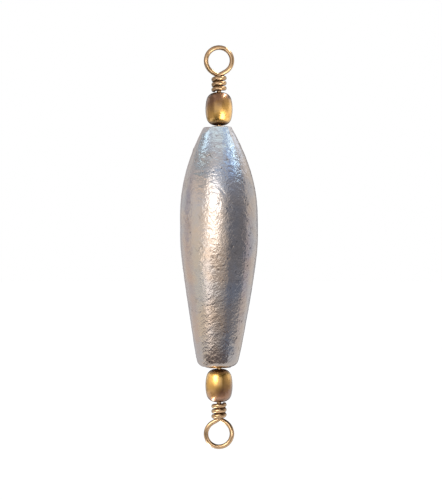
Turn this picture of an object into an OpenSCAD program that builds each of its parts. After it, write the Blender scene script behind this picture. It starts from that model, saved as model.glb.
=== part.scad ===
// Inline fishing sinker: a cast lead torpedo with a brass barrel swivel cast into each end.
// Millimetres. It hangs as it is fished: +Z runs up the line, and the origin is the centre of
// the top eye's opening. Each swivel is a barrel that turns on two wires, one for the line and
// one held in the lead. The lower swivel is the upper one, turned half round about Y.

/* [Lead body] */
// Length of the lead casting, flat to flat
body_len = 45; // [38:0.1:60]
// Diameter of the casting at its belly
body_d = 14.6; // [11:0.1:20]
// Diameter of the flat at the nose, before its edge is rounded
nose_d = 5.2; // [4.6:0.1:7]
// Diameter of the flat at the tail, before its edge is rounded
tail_d = 7.4; // [5.6:0.1:10]
// Length of the nose cone, if it ran on to meet the belly
nose_cone_len = 9.9; // [8:0.1:14]
// Length of the tail cone, if it ran on to meet the belly
tail_cone_len = 21.7; // [15:0.1:24]
// Radius of the long curve from the nose cone to the belly
nose_blend_r = 31; // [10:1:60]
// Radius of the long curve from the belly to the tail cone
tail_blend_r = 40; // [10:1:120]
// Radius on the edge of the nose flat
nose_edge_r = 0.4; // [0.1:0.1:0.6]
// Radius on the edge of the tail flat
tail_edge_r = 2.3; // [0.4:0.1:2.4]

/* [Swivel barrels] */
// Diameter of a barrel at its middle
barrel_d = 5.05; // [4.4:0.05:7]
// Length of a barrel
barrel_len = 6.15; // [4.6:0.05:9]
// Radius of the gentle curve along a barrel's side
barrel_crown_r = 7.7; // [5:0.1:14]
// Radius of the curve from a barrel's side into its end
barrel_shoulder_r = 1.7; // [0.4:0.05:1.8]
// Wall of a barrel at its middle
barrel_wall = 0.8; // [0.5:0.05:1.1]
// Thickness of a barrel's ends, which the wires turn in
barrel_end_wall = 1; // [0.6:0.05:1.4]

/* [Wire eyes] */
// Diameter of the wire
wire_d = 0.86; // [0.5:0.01:0.9]
// Outer diameter of an eye's loop
eye_d = 5.7; // [4.6:0.1:8]
// How far past the loop's circle the eye's two legs cross
neck_len = 0.35; // [0.3:0.01:0.9]
// Radius of the bend where the post leans over into the loop
bend_r = 0.8; // [0.5:0.05:1]
// Turns of wire wrapped round the post, from the eye's right side down
wrap_turns = 2.52; // [1.25:0.01:3]

/* [Clearances] */
// Radial clearance of a post in the barrel's bore
run_gap = 0.06; // [0.03:0.01:0.09]
// Clearance of a barrel's end from the last wrap, and of a head from the wall that it turns on
end_gap = 0.07; // [0.04:0.01:0.12]
// Clearance between the wraps and the post that they go round
post_gap = 0.14; // [0.1:0.01:0.3]
// Clearance from each wrap to the next
turn_gap = 0.08; // [0.04:0.01:0.12]
// Room between a head and the barrel's wall beside it
head_room = 0.57; // [0.3:0.01:0.7]
// Room between the two heads in a barrel
head_space = 1.2; // [0.6:0.05:1.8]
// How far a barrel stands off the lead
body_gap = 0.26; // [0.24:0.01:0.7]
// Clearance of the lead from the wire cast into it
cast_gap = 0.02; // [0.01:0.01:0.04]

/* [Hidden] */

lead_colour = "#a9a6a3";
barrel_colour = "#c79a3f";
wire_colour = "#b98a4e";
$fn = 96;

// Steps in each kind of curve
blend_steps = 12;
edge_steps = 5;
crown_steps = 10;
bend_steps = 4;
loop_steps = 22;
leg_steps = 4;
turn_steps = 18;
wire_sides = 8;
// Shares of the sides before and after a corner that its curve may take
nose_edge_shares = [0.6, 0.3];
nose_blend_shares = [0.7, 0.6];
tail_blend_shares = [0.4, 0.6];
tail_edge_shares = [0.4, 0.6];

// The wire of an eye, measured down from the eye's centre
wire_r = wire_d / 2;
loop_r = eye_d / 2 - wire_r;
neck_drop = loop_r + neck_len;
leg_angle = asin(loop_r / neck_drop);
leg_len = sqrt(neck_drop * neck_drop - loop_r * loop_r);
bend_drop = neck_drop + bend_r * tan(leg_angle / 2);

// The wraps start a quarter turn behind the post, where the leg comes down to them
wrap_r = wire_d + post_gap;
turn_rise = wire_d + turn_gap;
wrap_pitch = turn_rise / cos(asin(turn_rise / (2 * PI * wrap_r)));
wrap_top = -neck_drop + wrap_r / tan(leg_angle) - turn_rise / sin(leg_angle);
lead_in_share = 0.25;
// Share of the pitch by which the wraps lag an even helix in front, so that they fall more behind
lag_share = 0.1;
lead_in_rise = -neck_drop - helix_z(-lead_in_share);

// The loop leans back to the wraps' circle from this angle round it, counted from its foot
lean_angle = 250;
lean_arc_len = loop_r * (270 + leg_angle - lean_angle) * PI / 180;
lean_len = lean_arc_len + leg_len;

// The barrels and the heads that they hold
barrel_r = barrel_d / 2;
bore_r = wire_r + run_gap;
cavity_r = barrel_r - barrel_wall;
cavity_len = barrel_len - 2 * barrel_end_wall;
head_r = cavity_r - head_room;
head_len = (cavity_len - head_space) / 2 - end_gap;
// Share of a head's length that is its straight rim
head_rim_share = 0.35;

// Places along the axis
barrel_end_z = wrap_z(wrap_turns) - wire_r - end_gap;
barrel_mid_z = barrel_end_z - barrel_len / 2;
head_top_z = barrel_end_z - barrel_end_wall - end_gap;
nose_z = barrel_end_z - barrel_len - body_gap;
tail_z = nose_z - body_len;
middle_z = (nose_z + tail_z) / 2;

// The post is a true round pin up to just below its bend. The swept wire takes over there, and
// its foot is sunk in the pin, a little thinner than it
post_step_share = 0.125;
post_seat_share = 0.5;
foot_shares = [0.85, 0.97];
post_top_z = -bend_drop - post_step_share * wire_r;
post_seat = post_seat_share * wire_r;

// Heights of the sleeve that the lead leaves round the wraps
sleeve_r = wrap_r + wire_r + cast_gap;
sleeve_turn_share = -0.1;
sleeve_top_z = wrap_z(sleeve_turn_share) + wire_r + cast_gap;

function unit(v) = v / norm(v);
function smooth(s) = s * s * (3 - 2 * s);
function shift_y(p, y) = [p[0], y, p[1]];

// Points along the arc that rounds the corner b of the outline a, b, c, within its shares
function rounded(a, b, c, r, shares, steps) =
    let (
        u = unit(a - b),
        v = unit(c - b),
        half = acos(u * v) / 2,
        cut = min(r / tan(half), shares[0] * norm(a - b), shares[1] * norm(c - b)),
        centre = b + unit(u + v) * cut / cos(half),
        first = b + u * cut - centre,
        last = b + v * cut - centre,
        sweep = 180 - 2 * half
    )
    [for (i = [0 : steps])
        centre + (sin(sweep * (1 - i / steps)) * first + sin(sweep * i / steps) * last) / sin(sweep)];

// Points on a circle from angle a0 to a1, measured from the outline's own outward axis
function arc(centre, r, a0, a1, steps) =
    [for (i = [0 : steps])
        let (a = a0 + (a1 - a0) * i / steps) centre + r * [cos(a), sin(a)]];

// Height of the wraps' centre line after u turns; u is negative on the way in behind the post
function helix_z(u) = wrap_top - wrap_pitch * (u - lag_share * (1 - cos(360 * u)));
function wrap_z(u) = helix_z(u) + lead_in_rise * pow(min(u, 0) / lead_in_share, 2);
function wrap_point(u) = [wrap_r * cos(360 * u), -wrap_r * sin(360 * u), wrap_z(u)];

// How far back the wire lies, s millimetres after it starts to lean
function lean_y(s) = wrap_r * smooth(max(s, 0) / lean_len);

// Centre line of an eye's wire: up the post, over the bend, round the loop and behind the post
bend_points = [for (i = [0 : bend_steps])
    let (a = leg_angle * i / bend_steps)
    [bend_r * (1 - cos(a)), 0, bend_r * sin(a) - bend_drop]];
loop_points = [for (i = [0 : loop_steps])
    let (a = 90 - leg_angle + (180 + 2 * leg_angle) * i / loop_steps)
    [loop_r * sin(a), lean_y(loop_r * (a - lean_angle) * PI / 180), -loop_r * cos(a)]];
leg_top = [-loop_r * cos(leg_angle), -loop_r * sin(leg_angle)];
leg_foot = [0, -neck_drop];
leg_points = [for (i = [1 : leg_steps - 1])
    let (s = i / leg_steps)
    shift_y(leg_top + (leg_foot - leg_top) * s, lean_y(lean_arc_len + leg_len * s))];
function wrap_points(turns) =
    let (steps = ceil((turns + lead_in_share) * turn_steps))
    [for (i = [0 : steps]) wrap_point((turns + lead_in_share) * i / steps - lead_in_share)];
function wire_points(turns) = concat(bend_points, loop_points, leg_points, wrap_points(turns));

// Least gap of an eye's wire to itself, between points more than three diameters apart along it
post_points = [for (i = [0 : turn_steps])
    [0, 0, barrel_end_z + (-bend_drop - barrel_end_z) * i / turn_steps]];
whole_wire = concat(post_points, wire_points(wrap_turns));
wire_run = [for (i = 0, s = 0; i < len(whole_wire);
    i = i + 1, s = i < len(whole_wire) ? s + norm(whole_wire[i] - whole_wire[i - 1]) : s) s];
least_gap = min([for (i = [0 : len(whole_wire) - 1]) for (j = [i + 1 : len(whole_wire) - 1])
    if (wire_run[j] - wire_run[i] > 3 * wire_d) norm(whole_wire[j] - whole_wire[i])]) - wire_d;
echo(least_gap_of_wire_to_itself_mm = least_gap);

// A tube swept along points: rs gives the radius at each, and no twist builds up along it
module tube(points, rs) {
    last = len(points) - 1;
    along = [for (i = [0 : last]) unit(points[min(i + 1, last)] - points[max(i - 1, 0)])];
    across = [for (i = 0, n = [1, 0, 0]; i <= last;
        i = i + 1, n = i <= last ? unit(n - (n * along[i]) * along[i]) : n) n];
    rings = [for (i = [0 : last]) for (k = [0 : wire_sides - 1])
        let (a = 360 * k / wire_sides)
        points[i] + rs[i] * (cos(a) * across[i] + sin(a) * cross(along[i], across[i]))];
    walls = [for (i = [0 : last - 1]) for (k = [0 : wire_sides - 1])
        let (
            j = (k + 1) % wire_sides,
            low = i * wire_sides,
            high = low + wire_sides
        )
        each [[low + k, high + k, high + j], [low + k, high + j, low + j]]];
    end = last * wire_sides;
    caps = [for (k = [1 : wire_sides - 2]) each [[0, k, k + 1], [end, end + k + 1, end + k]]];
    polyhedron(points = rings, faces = concat(walls, caps));
}

// The bent wire above the post, with its foot sunk in the post's end
module bent_wire(turns, r) {
    foot = [for (drop = [post_seat, post_step_share * post_seat]) [0, 0, post_top_z - drop]];
    path = concat(foot, wire_points(turns));
    tube(path, [for (i = [0 : len(path) - 1]) r * (i < len(foot) ? foot_shares[i] : 1)]);
}

// A headed wire eye, standing on its barrel
module wire_eye() {
    rim_z = head_top_z - head_rim_share * head_len;
    color(wire_colour) union() {
        bent_wire(wrap_turns, wire_r);
        translate([0, 0, rim_z]) cylinder(r = wire_r, h = post_top_z - rim_z);
        rotate_extrude() polygon(concat(
            [[0, head_top_z], [head_r, head_top_z]],
            [for (i = [0 : edge_steps])
                let (a = 90 * i / edge_steps)
                [head_r * cos(a), rim_z - (1 - head_rim_share) * head_len * sin(a)]]
        ));
    }
}

// A barrel about its own centre: crowned side, rounded ends, a bore in each end, and a cavity
module barrel() {
    shoulder_z = barrel_len / 2 - barrel_shoulder_r;
    crown_x = barrel_r - barrel_crown_r;
    shoulder_x = crown_x + sqrt(pow(barrel_crown_r - barrel_shoulder_r, 2) - shoulder_z * shoulder_z);
    crown_angle = asin(shoulder_z / (barrel_crown_r - barrel_shoulder_r));
    color(barrel_colour) rotate_extrude() polygon(concat(
        arc([shoulder_x, -shoulder_z], barrel_shoulder_r, -90, -crown_angle, edge_steps),
        arc([crown_x, 0], barrel_crown_r, -crown_angle, crown_angle, crown_steps),
        arc([shoulder_x, shoulder_z], barrel_shoulder_r, crown_angle, 90, edge_steps),
        [
            [bore_r, barrel_len / 2], [bore_r, cavity_len / 2],
            [cavity_r, cavity_len / 2], [cavity_r, -cavity_len / 2],
            [bore_r, -cavity_len / 2], [bore_r, -barrel_len / 2]
        ]
    ));
}

// The hollow that a cast-in eye leaves in the lead, for an eye standing on its barrel
module anchor_hollow() {
    bent_wire(sleeve_turn_share, wire_r + cast_gap);
    translate([0, 0, barrel_end_z]) cylinder(r = sleeve_r, h = sleeve_top_z - barrel_end_z);
}

// Turns its children half round about Y, over the point at height z
module half_turn(z) {
    translate([0, 0, 2 * z]) rotate([0, 180, 0]) children();
}

module line_eye() {
    wire_eye();
}

module upper_barrel() {
    translate([0, 0, barrel_mid_z]) barrel();
}

module upper_anchor() {
    half_turn(barrel_mid_z) wire_eye();
}

module lead_body() {
    nose = [nose_d / 2, nose_z];
    nose_knee = [body_d / 2, nose_z - nose_cone_len];
    tail_knee = [body_d / 2, tail_z + tail_cone_len];
    tail = [tail_d / 2, tail_z];
    color(lead_colour) difference() {
        rotate_extrude() polygon(concat(
            [[0, nose_z]],
            rounded([0, nose_z], nose, nose_knee, nose_edge_r, nose_edge_shares, edge_steps),
            rounded(nose, nose_knee, tail_knee, nose_blend_r, nose_blend_shares, blend_steps),
            rounded(nose_knee, tail_knee, tail, tail_blend_r, tail_blend_shares, blend_steps),
            rounded(tail_knee, tail, [0, tail_z], tail_edge_r, tail_edge_shares, edge_steps),
            [[0, tail_z]]
        ));
        half_turn(barrel_mid_z) anchor_hollow();
        half_turn(middle_z) half_turn(barrel_mid_z) anchor_hollow();
    }
}

module lower_anchor() {
    half_turn(middle_z) upper_anchor();
}

module lower_barrel() {
    half_turn(middle_z) upper_barrel();
}

module leader_eye() {
    half_turn(middle_z) line_eye();
}

line_eye();
upper_barrel();
upper_anchor();
lead_body();
lower_anchor();
lower_barrel();
leader_eye();
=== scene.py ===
import math
import random

import bmesh
import bpy
from mathutils import Matrix, Vector, kdtree, noise


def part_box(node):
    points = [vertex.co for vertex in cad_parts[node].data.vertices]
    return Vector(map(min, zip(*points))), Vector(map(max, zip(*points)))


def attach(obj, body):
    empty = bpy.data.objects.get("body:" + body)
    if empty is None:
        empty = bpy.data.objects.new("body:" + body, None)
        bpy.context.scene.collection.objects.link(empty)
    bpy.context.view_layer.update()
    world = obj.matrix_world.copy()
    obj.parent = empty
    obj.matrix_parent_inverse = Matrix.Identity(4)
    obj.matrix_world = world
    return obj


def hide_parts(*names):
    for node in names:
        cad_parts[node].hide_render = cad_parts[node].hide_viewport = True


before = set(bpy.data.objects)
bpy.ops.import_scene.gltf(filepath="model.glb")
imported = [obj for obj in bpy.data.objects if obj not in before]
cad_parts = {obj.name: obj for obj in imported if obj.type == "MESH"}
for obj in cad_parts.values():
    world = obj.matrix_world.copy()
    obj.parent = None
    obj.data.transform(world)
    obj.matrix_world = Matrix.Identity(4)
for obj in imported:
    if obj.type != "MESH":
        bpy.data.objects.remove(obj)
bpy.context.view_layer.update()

# Lead body
# A torpedo of cast lead, poured into a two-part mould with a swivel laid in each end of it, and
# broken off its gate at the tail. Fresh lead is bright, with a crumpled grain where it froze
# against the mould, a few pits, and a faint seam down each side.
MM = 0.001
merge_gap = 0.001 * MM
lead_low, lead_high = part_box("lead_body")
nose_z, tail_z, belly_r = lead_high.z, lead_low.z, lead_high.x
nose_flat_r, tail_flat_r = 2.6 * MM, 3.7 * MM
nose_cone_len, tail_cone_len = 9.9 * MM, 21.7 * MM
pocket_r, pocket_depth = 1.5 * MM, 1.2 * MM
grid_step = 0.165 * MM
lead_rounds = 264


def rounded(before, corner, after, radius, shares, steps):
    """Points of the arc that rounds a corner of an outline; shares limit how much of each side it takes."""
    to_before, to_after = before - corner, after - corner
    u, v = to_before.normalized(), to_after.normalized()
    half = math.acos(u.dot(v)) / 2
    cut = min(radius / math.tan(half), shares[0] * to_before.length, shares[1] * to_after.length)
    centre = corner + (u + v).normalized() * cut / math.cos(half)
    first, last = corner + u * cut - centre, corner + v * cut - centre
    sweep = math.pi - 2 * half
    points = []
    for i in range(steps + 1):
        start_share, end_share = math.sin(sweep * (1 - i / steps)), math.sin(sweep * i / steps)
        points.append(centre + (start_share * first + end_share * last) / math.sin(sweep))
    return points


def spun(outline, rounds, closed=False, step=None):
    """A bmesh turned about Z from an outline of (radius, height), its long edges cut to the step:
    a quarter is spun, and mirrored twice."""
    bm = bmesh.new()
    verts = [bm.verts.new((p[0], 0, p[1])) for p in outline]
    edges = [bm.edges.new(pair) for pair in zip(verts, verts[1:])]
    if closed:
        edges.append(bm.edges.new((verts[-1], verts[0])))
    if step:
        for edge in edges:
            cuts = int(edge.calc_length() / step)
            bmesh.ops.subdivide_edges(bm, edges=[edge], cuts=cuts)
    bmesh.ops.spin(
        bm, geom=bm.verts[:] + bm.edges[:], cent=(0, 0, 0), axis=(0, 0, 1), dvec=(0, 0, 0),
        angle=math.pi / 2, steps=rounds // 4,
    )
    for axis in ("X", "Y"):
        bmesh.ops.mirror(bm, geom=bm.verts[:] + bm.edges[:] + bm.faces[:], axis=axis, merge_dist=merge_gap)
    bmesh.ops.remove_doubles(bm, verts=bm.verts, dist=merge_gap)
    bmesh.ops.recalc_face_normals(bm, faces=bm.faces)
    return bm


def add_piece(name, bm, material, body, slot, *nodes):
    """Makes the finished mesh an object that rides on its body and stands for its CAD nodes."""
    mesh = bpy.data.meshes.new(name)
    for face in bm.faces:
        face.smooth = True
    bm.to_mesh(mesh)
    bm.free()
    mesh.materials.append(material)
    piece = bpy.data.objects.new(name, mesh)
    bpy.context.scene.collection.objects.link(piece)
    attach(piece, body)
    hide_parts(*nodes)
    return piece


def colour(text):
    """A colour written as sRGB hex, as the linear values that Blender works in."""
    channels = [int(text[i : i + 2], 16) / 255 for i in (1, 3, 5)]
    return [c / 12.92 if c <= 0.04045 else ((c + 0.055) / 1.055) ** 2.4 for c in channels] + [1]


def add_node(tree, kind, values=None, **settings):
    """Adds a node; values gives an input its number, its colour or the socket that feeds it."""
    made = tree.nodes.new("ShaderNode" + kind)
    for setting, value in settings.items():
        setattr(made, setting, value)
    for place, value in (values or {}).items():
        if isinstance(value, bpy.types.NodeSocket):
            tree.links.new(value, made.inputs[place])
        else:
            made.inputs[place].default_value = value
    return made


def new_material(name):
    """A material with its node tree, its Principled shader and its Object coordinates."""
    material = bpy.data.materials.new(name)
    material.use_nodes = True
    tree = material.node_tree
    place = add_node(tree, "TexCoord").outputs["Object"]
    return material, tree, tree.nodes["Principled BSDF"], place


# Cast lead: a soft grey metal. Its thin oxide is a warm grey, a little cooler where it is fresh.
# It mirrors the room, blurred by a frosty skin and broken up by its grain, and its colour is darker in its
# pits and creases.
LEAD_WARM, LEAD_COOL, LEAD_PIT = "#B1A398", "#A6A2A2", "#3E3A3A"


def cast_lead():
    """Lead as it leaves the mould, dark where its mesh has a pit or a crease."""
    material, tree, shader, place = new_material("cast_lead")
    cloud = add_node(tree, "TexNoise", {"Vector": place, "Scale": 1 / (5 * MM), "Detail": 4})
    fresh = add_node(tree, "MapRange", {"Value": cloud.outputs["Fac"], "From Min": 0.4, "From Max": 0.62})
    tint = add_node(tree, "Mix", {"Factor": fresh.outputs[0], "A": colour(LEAD_WARM), "B": colour(LEAD_COOL)},
                    data_type="RGBA")
    hollow = add_node(tree, "Attribute", attribute_name="pit")
    base = add_node(tree, "Mix", {"Factor": hollow.outputs["Fac"], "A": tint.outputs["Result"],
                                  "B": colour(LEAD_PIT)}, data_type="RGBA")
    frost = add_node(tree, "TexNoise", {"Vector": place, "Scale": 1 / (0.7 * MM), "Detail": 5,
                                        "Roughness": 0.65})
    dull = add_node(tree, "MapRange", {"Value": frost.outputs["Fac"], "From Min": 0.35, "From Max": 0.65,
                                       "To Min": 0.12, "To Max": 0.24})
    fine = add_node(tree, "TexNoise", {"Vector": place, "Scale": 1 / (0.3 * MM), "Detail": 3})
    bump = add_node(tree, "Bump", {"Height": fine.outputs["Fac"], "Distance": 0.055 * MM, "Strength": 1.0})
    tree.links.new(base.outputs["Result"], shader.inputs["Base Color"])
    tree.links.new(dull.outputs[0], shader.inputs["Roughness"])
    tree.links.new(bump.outputs[0], shader.inputs["Normal"])
    shader.inputs["Metallic"].default_value = 1
    return material


nose_knee = Vector((belly_r, nose_z - nose_cone_len))
tail_knee = Vector((belly_r, tail_z + tail_cone_len))
nose_rim, tail_rim = Vector((nose_flat_r, nose_z)), Vector((tail_flat_r, tail_z))
nose_pocket, tail_pocket = Vector((pocket_r, nose_z)), Vector((pocket_r, tail_z))
lead_outline = (
    [Vector((0, nose_z - pocket_depth)), Vector((pocket_r, nose_z - pocket_depth)), nose_pocket]
    + rounded(nose_pocket, nose_rim, nose_knee, 0.4 * MM, (0.6, 0.3), 4)
    + rounded(nose_rim, nose_knee, tail_knee, 31 * MM, (0.7, 0.6), 24)
    + rounded(nose_knee, tail_knee, tail_rim, 40 * MM, (0.4, 0.6), 24)
    + rounded(tail_knee, tail_rim, tail_pocket, 2.3 * MM, (0.4, 0.6), 12)
    + [tail_pocket, Vector((pocket_r, tail_z + pocket_depth)), Vector((0, tail_z + pocket_depth))]
)
lead = spun(lead_outline, lead_rounds, step=grid_step)

# Marks on the casting, each a turn in degrees from the front, a height and a radius in mm: pits
# left by dross, thickest along the seam, and small beads where the mould was nicked
seam_turn = 44
pit_places = [
    (46, -19.6, 0.3), (6, -20.5, 0.26), (-8, -21.1, 0.24), (1, -27, 0.22), (12, -27.8, 0.2),
    (-14, -29.3, 0.2), (52, -32.4, 0.24), (53, -35.1, 0.3), (50, -38.3, 0.28), (14, -37, 0.2),
    (-1, -39.1, 0.24), (55, -48.6, 0.28), (-12, -55.6, 0.4), (-22, -56.2, 0.45), (-30, -55.9, 0.35),
]
chance = random.Random(7)
noise.seed_set(7)
for i in range(110):
    pit_places.append((chance.uniform(-180, 180), chance.uniform(-56, -14), chance.uniform(0.13, 0.22)))
for i in range(70):
    side = chance.choice((0, 180))
    turn = seam_turn + side + chance.gauss(0, 3)
    pit_places.append((turn, chance.uniform(-55, -16), chance.uniform(0.13, 0.26)))
bead_places = []
for i in range(110):
    turn = chance.uniform(5, 60) + chance.choice((0, 0, 120, 240))
    bead_places.append((turn, chance.uniform(-56, -38), chance.uniform(0.15, 0.23)))


def seat(turn, height):
    """The point of a cylinder as wide as the belly at a turn in degrees and a height in mm."""
    a = math.radians(turn)
    return Vector((belly_r * math.sin(a), -belly_r * math.cos(a), height * MM))


def tree_of(places):
    """A search tree of marks, by their seats."""
    tree = kdtree.KDTree(len(places))
    for i, (turn, height, _) in enumerate(places):
        tree.insert(seat(turn, height), i)
    tree.balance()
    return tree


def mark_at(p, tree, places):
    """How deep in a round mark a point of the lead is, from 0 outside it to 1 at its middle."""
    outward = Vector((p.x, p.y, 0))
    if outward.length < pocket_r:
        return 0
    _, i, distance = tree.find(outward.normalized() * belly_r + Vector((0, 0, p.z)))
    share = max(0, 1 - distance / (places[i][2] * MM))
    return share * share * (3 - 2 * share)


# A curved scratch at the front and a flake of flash at the left, each a run of (turn, height)
# with its half-width and its height in mm
marks = (
    ([(1, -24.2), (5, -24.6), (9, -25.2), (13, -26.3)], 0.16, -0.03),
    ([(-92, -16.4), (-76, -17.1)], 0.2, 0.09),
)
line_parts = [
    (seat(*start), seat(*end) - seat(*start), half_width * MM, height)
    for places, half_width, height in marks
    for start, end in zip(places, places[1:])
]


def line_at(p):
    """How far a point is raised by the scratch and the flake, in mm."""
    outward = Vector((p.x, p.y, 0))
    if outward.length < pocket_r:
        return 0
    here = outward.normalized() * belly_r + Vector((0, 0, p.z))
    raised = 0
    for start, run, half_width, height in line_parts:
        to_here = here - start
        share = min(1, max(0, to_here.dot(run) / run.length_squared))
        raised += height * max(0, 1 - (to_here - share * run).length / half_width)
    return raised


pit_tree, bead_tree = tree_of(pit_places), tree_of(bead_places)
pit_depth, bead_height = 0.09, 0.065

# The cast grain, as heights and sizes in mm. A slow swell and wrinkles cover the casting, with
# strokes that run along it in a slow twist, ripples that arch over its front, fine grain, and
# creases in patches. Low on the tail the wrinkles are shallower, and slanted dashes join them.
warp_reach, warp_size = 0.5, 1.3
rough_share, rough_least, rough_patch_size, rough_low_loss = 0.58, -0.3, 2.4, 0.22
swell_height, swell_size = 0.012, 3.4
wrinkle_height, wrinkle_low_loss, wrinkle_size = 0.042, 0.022, 1.1
stroke_height, stroke_width, stroke_len, twist_rate = 0.028, 0.45, 1.5, 0.1
ripple_height, ripple_width, ripple_len, arch_rate = 0.02, 0.4, 1.4, 0.11
dash_height, dash_width, dash_len = 0.022, 0.36, 1.3
dash_slope = Matrix.Rotation(math.radians(35), 3, "Y")
grain_height, grain_size = 0.018, 0.4
crease_depth, crease_size, crease_share = 0.11, 0.9, 0.14
crease_patch_size, crease_rarity, crease_low_rarity = 1.9, 0.12, 0.2
low_start, low_blend = -38, 6

# The larger forms, with heights in mm and places and widths in metres: a fuller nose and tail than
# the cones, the tuck over the tail's rim, the seam, a dent at the nose's rim and the torn stub of
# the gate. The sides lie outside side_r, and the flats inside it.
side_r = 2.4 * MM
nose_swell, nose_swell_len = 0.5, 7 * MM
tail_swell = 0.13
tail_tuck, tail_tuck_len = 0.25, 5 * MM
seam_across = Vector((math.cos(math.radians(seam_turn)), math.sin(math.radians(seam_turn)), 0))
seam_height, seam_half_width, seam_share, seam_run = 0.04, 0.25 * MM, 0.4, 0.7
nose_dent, dent_depth, dent_r = Vector((-2.3, -1.6, -12.2)) * MM, 0.35, 1.7 * MM
gate, stub_height, stub_size, stub_r = Vector((-2.2, -2.5, -56.7)) * MM, 0.16, 0.45, 1.9 * MM


def drawn_noise(p, across, along):
    """Noise at a point, drawn out to one size across the casting and another along it."""
    return noise.noise(Vector((p.x / across, p.y / across, p.z / along)))


def relief(p):
    """How far the skin of the casting stands out at a point, in mm, and how deep in a pit or a crease it is.
    """
    q = p / MM
    warped = q + warp_reach * noise.noise_vector(q / warp_size)
    twisted = Matrix.Rotation(twist_rate * q.z, 3, "Z") @ warped
    arched = warped + Vector((0, 0, arch_rate * q.x * q.x))
    low = min(1, max(0, (low_start - q.z) / low_blend))
    rough = rough_share + max(rough_least, noise.noise(q / rough_patch_size)) - rough_low_loss * low
    swell = swell_height * noise.noise(q / swell_size)
    wrinkle = (wrinkle_height - wrinkle_low_loss * low) * (0.5 - abs(noise.noise(warped / wrinkle_size)))
    stroke = stroke_height * rough * drawn_noise(twisted, stroke_width, stroke_len)
    ripple = ripple_height * rough * drawn_noise(arched, ripple_len, ripple_width)
    dash = dash_height * low * drawn_noise(dash_slope @ q, dash_len, dash_width)
    grain = grain_height * rough * noise.noise(warped / grain_size)
    patch = max(0, noise.noise(q / crease_patch_size) - crease_rarity - crease_low_rarity * low)
    crease = max(0, 1 - abs(noise.noise(warped / crease_size)) / crease_share) * patch
    down, up = (nose_z - p.z) / nose_swell_len, (p.z - tail_z) / tail_tuck_len
    on_side = p.xy.length > side_r
    full_nose = nose_swell * down * (1 - down) ** 2 if 0 < down < 1 and on_side else 0
    full_tail = tail_swell * low if on_side else 0
    tuck = tail_tuck * (1 - up) ** 2 if up < 1 and on_side else 0
    off_seam = abs(p.dot(seam_across)) / seam_half_width
    seam = seam_height * max(0, 1 - off_seam) * (seam_share + noise.noise(q / seam_run))
    dent = dent_depth * max(0, 1 - (p - nose_dent).length / dent_r)
    stub = max(0, 1 - (p - gate).length / stub_r) * stub_height * noise.noise(q / stub_size)
    pit = mark_at(p, pit_tree, pit_places)
    bead = bead_height * mark_at(p, bead_tree, bead_places)
    skin = swell + wrinkle + stroke + ripple + dash + grain + seam + stub + bead + line_at(p)
    raised = skin + full_nose + full_tail - dent - tuck - crease_depth * crease - pit_depth * pit
    return raised, max(pit, crease)


bow, bow_rim, bow_blend = 0.3 * MM, 1.6 * MM, 1.2 * MM


def bowed(p):
    """How far both ends of the casting lie to the left of its middle, but for the rim round the wire."""
    along = (2 * p.z - nose_z - tail_z) / (nose_z - tail_z)
    return -bow * along * along * min(1, max(0, (p.xy.length - bow_rim) / bow_blend))


# The skin lies a little under the solid and never leaves its box; both depths are in mm
skin_depth, least_depth = 0.05, 0.006
pit_layer = lead.verts.layers.float.new("pit")
lead.normal_update()
moves = []
for vert in lead.verts:
    raised, pit = relief(vert.co)
    vert[pit_layer] = pit
    room = (belly_r - vert.co.xy.length) / MM - least_depth
    moves.append(min(room, raised - skin_depth) * MM * vert.normal + Vector((bowed(vert.co), 0, 0)))
for vert, move in zip(lead.verts, moves):
    vert.co += move
add_piece("lead_casting", lead, cast_lead(), "sinker", "cast_lead", "lead_body")

# Swivel barrels
# Short tubes of brass, swaged over the heads of two wires, so that each end closes round its
# wire with a rounded shoulder. Satin yellow brass, browned in clouds where it has tarnished,
# with painted shade that browns it towards the eye, towards one side and at its end against the lead.
barrel_r, barrel_wall, barrel_end_wall = 2.525 * MM, 0.8 * MM, 1.0 * MM
bore_r = 0.49 * MM
crown_r, shoulder_r = 7.7 * MM, 1.7 * MM
crown_steps, shoulder_steps, barrel_rounds = 24, 10, 96
# The brown is both tarnished brass and painted shade: it darkens the barrels towards the eye, one side and
# the lead.
BRASS_SATIN, BRASS_TARNISH_AND_SHADE = "#D2A65C", "#7A5840"


def arc(centre, radius, start, end, steps):
    """Points on a circle of an outline, from angle to angle in radians."""
    angles = [start + (end - start) * i / steps for i in range(steps + 1)]
    return [centre + radius * Vector((math.cos(a), math.sin(a))) for a in angles]


def barrel(low, high):
    """A hollow barrel between two heights, with a bore in each end."""
    half = (high - low) / 2
    cavity, shoulder_z, crown_x = half - barrel_end_wall, half - shoulder_r, barrel_r - crown_r
    crown_angle = math.asin(shoulder_z / (crown_r - shoulder_r))
    shoulder_x = crown_x + math.sqrt((crown_r - shoulder_r) ** 2 - shoulder_z**2)
    outline = (
        arc(Vector((shoulder_x, -shoulder_z)), shoulder_r, -math.pi / 2, -crown_angle, shoulder_steps)
        + arc(Vector((crown_x, 0)), crown_r, -crown_angle, crown_angle, crown_steps)
        + arc(Vector((shoulder_x, shoulder_z)), shoulder_r, crown_angle, math.pi / 2, shoulder_steps)
        + [Vector((r, z)) for r, z in (
            (bore_r, half), (bore_r, cavity), (barrel_r - barrel_wall, cavity),
            (barrel_r - barrel_wall, -cavity), (bore_r, -cavity), (bore_r, -half),
        )]
    )
    bm = spun(outline, barrel_rounds, closed=True)
    bmesh.ops.translate(bm, verts=bm.verts, vec=(0, 0, (low + high) / 2))
    return bm


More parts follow.
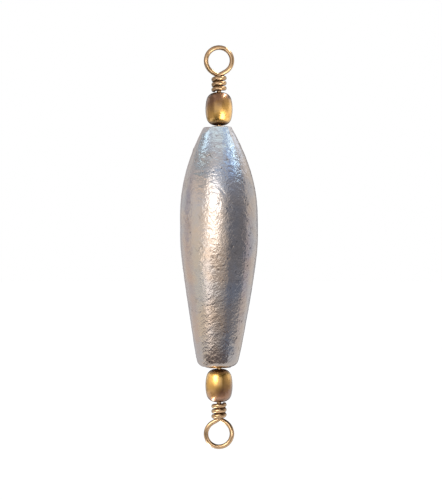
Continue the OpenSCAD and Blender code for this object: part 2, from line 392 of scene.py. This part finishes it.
def satin_brass(name, centre, eye_side):
    """Brass of a barrel at a height; eye_side is 1 where its eye is above it and -1 below. It is
    browner in clouds where it has tarnished, with painted shade that browns it towards the eye and
    one side and darkens its end against the lead, and its sides have fine lines along them from the
    drawing of the tube."""
    material, tree, shader, place = new_material(name)
    about = add_node(tree, "Mapping", {"Vector": place, "Location": (0, 0, -centre)})
    split = add_node(tree, "SeparateXYZ", {"Vector": about.outputs[0]})
    # Painted shade: the brown grows towards the eye and towards one side, and painted shade darkens the end
    # against the lead; only the noise clouds are tarnished brass.
    along = add_node(tree, "Math", {0: split.outputs["Z"], 1: eye_side / (4 * MM)}, operation="MULTIPLY")
    painted_shade_slope = add_node(tree, "Math", {0: split.outputs["X"], 1: -eye_side / (9 * MM), 2: along.outputs[0]},
                    operation="MULTIPLY_ADD")
    cloud = add_node(tree, "TexNoise", {"Vector": place, "Scale": 1 / (1.4 * MM), "Detail": 4})
    total = add_node(tree, "Math", {0: cloud.outputs["Fac"], 1: 0.8, 2: painted_shade_slope.outputs[0]},
                     operation="MULTIPLY_ADD")
    tarnish_and_shade = add_node(tree, "MapRange", {"Value": total.outputs[0], "From Min": 0.1, "From Max": 0.8})
    painted_end_shade = add_node(tree, "MapRange", {"Value": along.outputs[0], "From Min": -0.56, "From Max": -0.72})
    brown = add_node(tree, "Math", {0: tarnish_and_shade.outputs[0], 1: painted_end_shade.outputs[0]}, operation="MAXIMUM")
    base = add_node(tree, "Mix", {"Factor": brown.outputs[0], "A": colour(BRASS_SATIN),
                                  "B": colour(BRASS_TARNISH_AND_SHADE)}, data_type="RGBA")
    drawn = add_node(tree, "Mapping", {"Vector": place, "Scale": (1, 1, 0.12)})
    lines = add_node(tree, "TexNoise", {"Vector": drawn.outputs[0], "Scale": 1 / (0.2 * MM), "Detail": 3})
    bump = add_node(tree, "Bump", {"Height": lines.outputs["Fac"], "Distance": 0.006 * MM, "Strength": 1.0})
    tree.links.new(base.outputs["Result"], shader.inputs["Base Color"])
    tree.links.new(bump.outputs[0], shader.inputs["Normal"])
    shader.inputs["Metallic"].default_value = 1
    shader.inputs["Roughness"].default_value = 0.34
    shader.inputs["Coat Weight"].default_value = 0.8
    shader.inputs["Coat Roughness"].default_value = 0.14
    return material


for node, eye_side in (("upper_barrel", 1), ("lower_barrel", -1)):
    low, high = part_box(node)
    finish = satin_brass("satin_brass_" + node, (low.z + high.z) / 2, eye_side)
    add_piece(node + "_turned", barrel(low.z, high.z), finish, node, "brass_barrel", node)

# Wire eyes
# Each swivel has two brass wires with a head in the barrel. Outside it the wire is bent round
# into an eye and then wrapped down its own post. One eye is cast into the lead.
wire_r, eye_r = 0.43 * MM, 2.85 * MM
neck_len, bend_r = 0.35 * MM, 0.8 * MM
wrap_turns, lead_in, lag = 2.52, 0.25, 0.1
wrap_r, turn_gap = 1.0 * MM, 0.08 * MM
head_r, head_len = 1.155 * MM, 1.405 * MM
wire_sides, post_steps, bend_steps, loop_steps, leg_steps, turn_steps = 20, 12, 8, 72, 8, 36
WIRE_BRASS, WIRE_BROWN = "#BCA080", "#8E7356"

loop_r = eye_r - wire_r
neck_drop = loop_r + neck_len
leg_angle = math.asin(loop_r / neck_drop)
leg_len = math.sqrt(neck_drop**2 - loop_r**2)
bend_drop = neck_drop + bend_r * math.tan(leg_angle / 2)
turn_rise = 2 * wire_r + turn_gap
wrap_pitch = turn_rise / math.cos(math.asin(turn_rise / (2 * math.pi * wrap_r)))
wrap_top = -neck_drop + wrap_r / math.tan(leg_angle) - turn_rise / math.sin(leg_angle)
lean_angle = math.radians(250)
lean_arc_len = loop_r * (1.5 * math.pi + leg_angle - lean_angle)


def lean_back(distance):
    """How far back the loop lies, that far along from where it starts to lean."""
    share = max(0, distance) / (lean_arc_len + leg_len)
    return wrap_r * share * share * (3 - 2 * share)


def fallen(turns):
    """Height of the wraps after some turns: they lag an even helix in front, and fall more behind."""
    return wrap_top - wrap_pitch * (turns - lag * (1 - math.cos(2 * math.pi * turns)))


def wire_line(head_z):
    """The wire's centre line and radius, from its head in the barrel to its cut end."""
    line = [(Vector((0, 0, head_z + head_len * (1 - math.cos(a)) * 0.5)), head_r * math.sin(a))
            for a in (0.15, 0.5, 0.9, 1.3)]
    line += [(Vector((0, 0, head_z + head_len * s)), head_r * r)
             for s, r in ((0.6, 1), (0.97, 1), (1, 0.97))]
    post_low = head_z + head_len
    line += [(Vector((0, 0, post_low + (-bend_drop - post_low) * i / post_steps)), wire_r)
             for i in range(post_steps)]
    for i in range(bend_steps + 1):
        a = leg_angle * i / bend_steps
        line.append((Vector((bend_r * (1 - math.cos(a)), 0, bend_r * math.sin(a) - bend_drop)), wire_r))
    for i in range(loop_steps + 1):
        a = math.pi / 2 - leg_angle + (math.pi + 2 * leg_angle) * i / loop_steps
        back = lean_back(loop_r * (a - lean_angle))
        line.append((Vector((loop_r * math.sin(a), back, -loop_r * math.cos(a))), wire_r))
    leg_top = Vector((-loop_r * math.cos(leg_angle), 0, -loop_r * math.sin(leg_angle)))
    for i in range(1, leg_steps):
        p = leg_top.lerp(Vector((0, 0, -neck_drop)), i / leg_steps)
        line.append((p + Vector((0, lean_back(lean_arc_len + leg_len * i / leg_steps), 0)), wire_r))
    steps = round((wrap_turns + lead_in) * turn_steps)
    for i in range(steps + 1):
        turns = (wrap_turns + lead_in) * i / steps - lead_in
        z = fallen(turns) - (neck_drop + fallen(-lead_in)) * (min(turns, 0) / lead_in) ** 2
        a = 2 * math.pi * turns
        line.append((Vector((wrap_r * math.cos(a), -wrap_r * math.sin(a), z)), wire_r))
    return line


def swept(line, sides):
    """A tube along a centre line, made by carrying a ring from point to point without a twist."""
    bm = bmesh.new()
    points = [p for p, _ in line]
    end = len(points) - 1
    ways = [(points[min(i + 1, end)] - points[max(i - 1, 0)]).normalized() for i in range(end + 1)]
    turn = Vector((0, 0, 1)).rotation_difference(ways[0]).to_matrix().to_4x4()
    made = bmesh.ops.create_circle(bm, cap_ends=True, radius=1, segments=sides,
                                   matrix=Matrix.Translation(points[0]) @ turn @ Matrix.Scale(line[0][1], 4))
    ring, way, radius = made["verts"], ways[0], line[0][1]
    edges = list({edge for vert in ring for edge in vert.link_edges})
    for (point, next_radius), next_way, last in zip(line[1:], ways[1:], points):
        out = bmesh.ops.extrude_edge_only(bm, edges=edges)["geom"]
        ring = [g for g in out if isinstance(g, bmesh.types.BMVert)]
        edges = [g for g in out if isinstance(g, bmesh.types.BMEdge)
                 and g.verts[0] in ring and g.verts[1] in ring]
        grow = Matrix.Scale(next_radius / radius, 4)
        spin = way.rotation_difference(next_way).to_matrix().to_4x4()
        carry = Matrix.Translation(point) @ spin @ grow @ Matrix.Translation(-last)
        bmesh.ops.transform(bm, matrix=carry, verts=ring)
        way, radius = next_way, next_radius
    bmesh.ops.edgeloop_fill(bm, edges=edges)
    bmesh.ops.recalc_face_normals(bm, faces=bm.faces)
    return bm


def bright_wire():
    """Drawn brass wire, bright with clouds of brown."""
    material, tree, shader, place = new_material("drawn_brass_wire")
    cloud = add_node(tree, "TexNoise", {"Vector": place, "Scale": 1 / (1.2 * MM), "Detail": 3})
    base = add_node(tree, "Mix", {"Factor": cloud.outputs["Fac"], "A": colour(WIRE_BRASS),
                                  "B": colour(WIRE_BROWN)}, data_type="RGBA")
    tree.links.new(base.outputs["Result"], shader.inputs["Base Color"])
    shader.inputs["Metallic"].default_value = 1
    shader.inputs["Roughness"].default_value = 0.28
    return material


def half_turn(z):
    """Half a turn about Y, over the point at a height on the axis."""
    return Matrix.Translation((0, 0, 2 * z)) @ Matrix.Rotation(math.pi, 4, "Y")


barrel_low, barrel_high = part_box("upper_barrel")
over_barrel = half_turn((barrel_low.z + barrel_high.z) / 2)
over_lead = half_turn((nose_z + tail_z) / 2)
wire_finish = bright_wire()
wire = swept(wire_line(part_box("line_eye")[0].z), wire_sides)
for node, body, place in (
    ("line_eye", "line_eye", Matrix()),
    ("upper_anchor", "sinker", over_barrel),
    ("lower_anchor", "sinker", over_lead @ over_barrel),
    ("leader_eye", "leader_eye", over_lead),
):
    turned = wire.copy()
    bmesh.ops.transform(turned, matrix=place, verts=turned.verts)
    add_piece(node + "_wire", turned, wire_finish, body, "brass_wire", node)
wire.free()

# Studio
# The sinker hangs over a pale floor in front of a white backdrop. A window with the sun in it
# lights it from the front left, two cool lamps from above, and the right of the room is dark.
photo_w, photo_h = 442, 500
pixel = 0.187 * MM
axis_px, origin_py = 219, 60.5
eye_level = -(photo_h / 2 - origin_py) * pixel
camera_x = (photo_w / 2 - axis_px) * pixel
lens, film = 100, 36
camera_y = -photo_h * pixel * lens / film
floor_z, floor_r, floor_sides = -0.11, 3, 64

camera_data = bpy.data.cameras.new("camera")
camera_data.lens, camera_data.sensor_width = lens, film
camera_data.clip_start = 0.01
camera = bpy.data.objects.new("camera", camera_data)
camera.location = (camera_x, camera_y, eye_level)
camera.rotation_euler = (math.pi / 2, 0, 0)
bpy.context.scene.collection.objects.link(camera)
bpy.context.scene.camera = camera


def seen_white(tree, plain, white):
    """Puts a white shader in place of a plain one for camera, glossy and transmission rays."""
    path = add_node(tree, "LightPath")
    seen = path.outputs["Is Camera Ray"]
    for ray in ("Is Glossy Ray", "Is Transmission Ray"):
        seen = add_node(tree, "Math", {0: seen, 1: path.outputs[ray]}, operation="MAXIMUM").outputs[0]
    return add_node(tree, "MixShader", {0: seen, 1: plain, 2: white}).outputs[0]


world = bpy.data.worlds.new("white_room")
bpy.context.scene.world = world
world.use_nodes = True
tree = world.node_tree
plain = add_node(tree, "Background", {"Color": colour("#F2F4F8"), "Strength": 0.6})
white = add_node(tree, "Background", {"Color": (1, 1, 1, 1), "Strength": 1})
tree.links.new(seen_white(tree, plain.outputs[0], white.outputs[0]),
               tree.nodes["World Output"].inputs["Surface"])

floor_finish, tree, shader, _ = new_material("pale_floor")
shader.inputs["Base Color"].default_value = colour("#E8E8E6")
shader.inputs["Roughness"].default_value = 0.9
glow = add_node(tree, "Emission", {"Color": (1, 1, 1, 1), "Strength": 0.89})
faint = add_node(tree, "BsdfDiffuse", {"Color": colour("#888888")})
pale = add_node(tree, "AddShader", {0: faint.outputs[0], 1: glow.outputs[0]})
tree.links.new(seen_white(tree, shader.outputs[0], pale.outputs[0]),
               tree.nodes["Material Output"].inputs["Surface"])
bm = bmesh.new()
bmesh.ops.create_circle(bm, cap_ends=True, radius=floor_r, segments=floor_sides,
                        matrix=Matrix.Translation((0, 0, floor_z)))
mesh = bpy.data.meshes.new("floor")
bm.to_mesh(mesh)
bm.free()
mesh.materials.append(floor_finish)
floor = bpy.data.objects.new("floor", mesh)
bpy.context.scene.collection.objects.link(floor)


card_steps = 24


def card(name, strength, tint, turn_from, turn_to, outline, fade=None):
    """A curved card round the sinker that only reflections see, spun from (radius, height) points.
    A fade is two heights and the strength that it reaches at the upper one."""
    material, tree, _, place = new_material(name)
    glow = add_node(tree, "Emission", {"Color": colour(tint), "Strength": strength})
    if fade:
        height = add_node(tree, "SeparateXYZ", {"Vector": place}).outputs["Z"]
        rise = add_node(tree, "MapRange", {"Value": height, "From Min": fade[0], "From Max": fade[1],
                                           "To Min": strength, "To Max": fade[2]})
        tree.links.new(rise.outputs[0], glow.inputs["Strength"])
    tree.links.new(glow.outputs[0], tree.nodes["Material Output"].inputs["Surface"])
    bm = bmesh.new()
    a = math.radians(turn_from)
    verts = [bm.verts.new((r * math.sin(a), -r * math.cos(a), z)) for r, z in outline]
    edges = [bm.edges.new(pair) for pair in zip(verts, verts[1:])]
    bmesh.ops.spin(bm, geom=verts + edges, cent=(0, 0, 0), axis=(0, 0, 1), dvec=(0, 0, 0),
                   angle=math.radians(turn_to - turn_from), steps=card_steps)
    mesh = bpy.data.meshes.new(name)
    bm.to_mesh(mesh)
    bm.free()
    mesh.materials.append(material)
    made = bpy.data.objects.new(name, mesh)
    bpy.context.scene.collection.objects.link(made)
    made.visible_camera = made.visible_diffuse = made.visible_shadow = made.visible_transmission = False
    return made


def lights_only(source, names):
    """Limits a lamp or a card to the named pieces."""
    group = bpy.data.collections.new(source.name + "_receivers")
    for name in names:
        group.objects.link(bpy.data.objects[name])
    source.light_linking.receiver_collection = group


# Each lies just over the floor or stands round it: the dark right of the room, the shade under the
# sinker, the table in front, a patch of sun on it, the wall on the left, the dim back of the room,
# and the sky above
over_floor = floor_z + 1 * MM
cards = [
    card("shade", 0.3, "#DCD0D4", -84, 60, [(0.045, over_floor), (0.135, over_floor)]),
    card("dark_floor", 0.52, "#D8E6FF", 25, 88, [(0.135, over_floor), (0.24, over_floor)]),
    card("dark_side", 0.36, "#DCE8FF", 25, 88, [(0.24, over_floor), (0.24, 0.13)],
         fade=(-0.03, 0.13, 0.72)),
    card("right_side", 0.8, "#F4F0FF", 88, 112, [(0.24, over_floor), (0.24, -0.03)]),
    card("right_shade", 0.76, "#EAF0FF", 88, 104, [(0.24, 0.04), (0.24, 0.11)]),
    card("table", 0.88, "#FFF4E8", -26, 3, [(0.135, over_floor), (0.9, over_floor)]),
    card("table_right", 0.68, "#FFFAF6", 3, 25, [(0.135, over_floor), (0.9, over_floor)]),
    card("sun_patch", 2.7, "#FFF4E8", -50, -26, [(0.175, over_floor), (0.6, over_floor)]),
    card("side_floor", 1.26, "#FFFAEA", -92, -50,
         [(0.2, over_floor), (0.42, over_floor), (0.42, -0.05)]),
    card("corner_floor", 1.06, "#FFF4EE", -135, -92,
         [(0.2, over_floor), (0.42, over_floor), (0.42, -0.05)]),
    card("wall", 1.28, "#FFF9F2", -94, -42, [(0.6, over_floor), (0.6, 0.13)]),
    card("wall_top", 1.3, "#F6F8FF", -94, -42, [(0.6, 0.13), (0.6, 0.26)], fade=(0.16, 0.25, 0.9)),
    card("corner", 0.78, "#F4F0FF", -116, -96, [(0.4, -0.05), (0.4, 0.12)]),
    card("teal_wall", 0.82, "#DCEEFF", -125, -35, [(0.6, 0.26), (0.6, 0.53)]),
    card("front_wall", 1.12, "#E2EEFF", -35, 50, [(0.6, 0.2), (0.6, 0.53)]),
    card("blue_corner", 1.7, "#A4C8FF", 42, 96, [(0.48, 0.3), (0.48, 0.42), (0.4, 0.47)]),
    card("back", 0.4, "#E8E0E4", 154, 184,
         [(0.05, over_floor), (0.4, over_floor), (0.4, 0.3)], fade=(0.05, 0.3, 0.85)),
    card("back_left", 0.74, "#EEE8EA", 184, 212,
         [(0.05, over_floor), (0.4, over_floor), (0.4, 0.3)], fade=(0.05, 0.3, 0.95)),
    card("right_gleam", 2.1, "#E4F0FF", 113, 148, [(0.45, 0.16), (0.45, 0.33)]),
    card("sky", 1.45, "#D4E6FF", -180, 30, [(0.38, 0.512), (0.5, 0.44)]),
    card("blue_sky", 2.0, "#AED4FF", 30, 180, [(0.38, 0.512), (0.5, 0.44)]),
    card("zenith", 2.3, "#CDEBFF", 0, 360, [(0.001, 0.6), (0.3, 0.56), (0.38, 0.512)]),
]


def lamp(name, tint, radiance, turn, rise, distance, width, height, at=eye_level):
    """A soft lamp that faces the axis at a height, from a bearing and a height angle in degrees."""
    a, e = math.radians(turn), math.radians(rise)
    away = Vector((math.sin(a) * math.cos(e), -math.cos(a) * math.cos(e), math.sin(e)))
    data = bpy.data.lights.new(name, "AREA")
    data.shape = "RECTANGLE"
    data.size, data.size_y = width, height
    data.color = colour(tint)[:3]
    data.energy = radiance * math.pi * width * height
    made = bpy.data.objects.new(name, data)
    made.location = Vector((0, 0, at)) + away * distance
    made.rotation_mode = "QUATERNION"
    made.rotation_quaternion = away.to_track_quat("Z", "Y")
    bpy.context.scene.collection.objects.link(made)
    return made


lead_lamps = [
    lamp("window", "#FFFDF6", 1.8, -18, 7, 0.5, 0.33, 0.41),
    lamp("sun", "#ECF3FF", 4, -14, 11, 0.5, 0.14, 0.11),
    lamp("cool_right", "#CDF1FF", 4.8, 81, 41, 0.4, 0.14, 0.06),
    lamp("cool_left", "#C8EEFF", 3.6, -88, 45, 0.4, 0.17, 0.06),
]
for source in cards + lead_lamps:
    lights_only(source, ["lead_casting", "floor"])

# Each swivel has lamps of its own, and those of the lower one are the upper one's, turned half
# round as the swivel is: a low sun and its core, a slit, light from both sides and from the eye's
# side, a soft front light for the barrel, and for the wires a fill, an underlight from the lead's
# side and a strip in front. Each row ends with bearing, height angle, width and height.
swivel_lamp_distance = 0.05
for side, barrel_node, wires in (
    (1, "upper_barrel", ["line_eye_wire", "upper_anchor_wire"]),
    (-1, "lower_barrel", ["lower_anchor_wire", "leader_eye_wire"]),
):
    low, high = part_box(barrel_node)
    middle = (low.z + high.z) / 2
    turned = [barrel_node + "_turned"]
    both = wires + turned
    for name, lit, tint, radiance, turn, rise, width, height in (
        ("low_sun", both, "#FFF4DC", 0.9, 60, -24, 0.08, 0.04),
        ("sun_core", both, "#FFFAEC", 7, 33, -25, 0.03, 0.026),
        ("slit", both, "#FFFAF0", 16, 101, 58, 0.06, 0.008),
        ("warm_right", both, "#FFF4E0", 0.64, 89, 18, 0.074, 0.11),
        ("left_fill", both, "#FFF4EA", 0.55, -79, 16, 0.074, 0.12),
        ("front_fill", turned, "#FFF6EE", 0.27, 5, 12, 0.1, 0.07),
        ("wire_fill", wires, "#FFFCFA", 0.4, -28, 10, 0.06, 0.06),
        ("overhead", both, "#FFF0E6", 0.75, 0, 66, 0.08, 0.08),
        ("underlight", wires, "#FFFAF0", 3.4, 15, -66, 0.03, 0.03),
        ("strip", wires, "#FFFAF2", 4.0, -8, -4, 0.07, 0.012),
    ):
        source = lamp(name + "_" + barrel_node, tint, radiance, side * turn, side * rise,
                      swivel_lamp_distance, width, height, at=middle)
        lights_only(source, lit)

view = bpy.context.scene.view_settings
view.view_transform = "Standard"
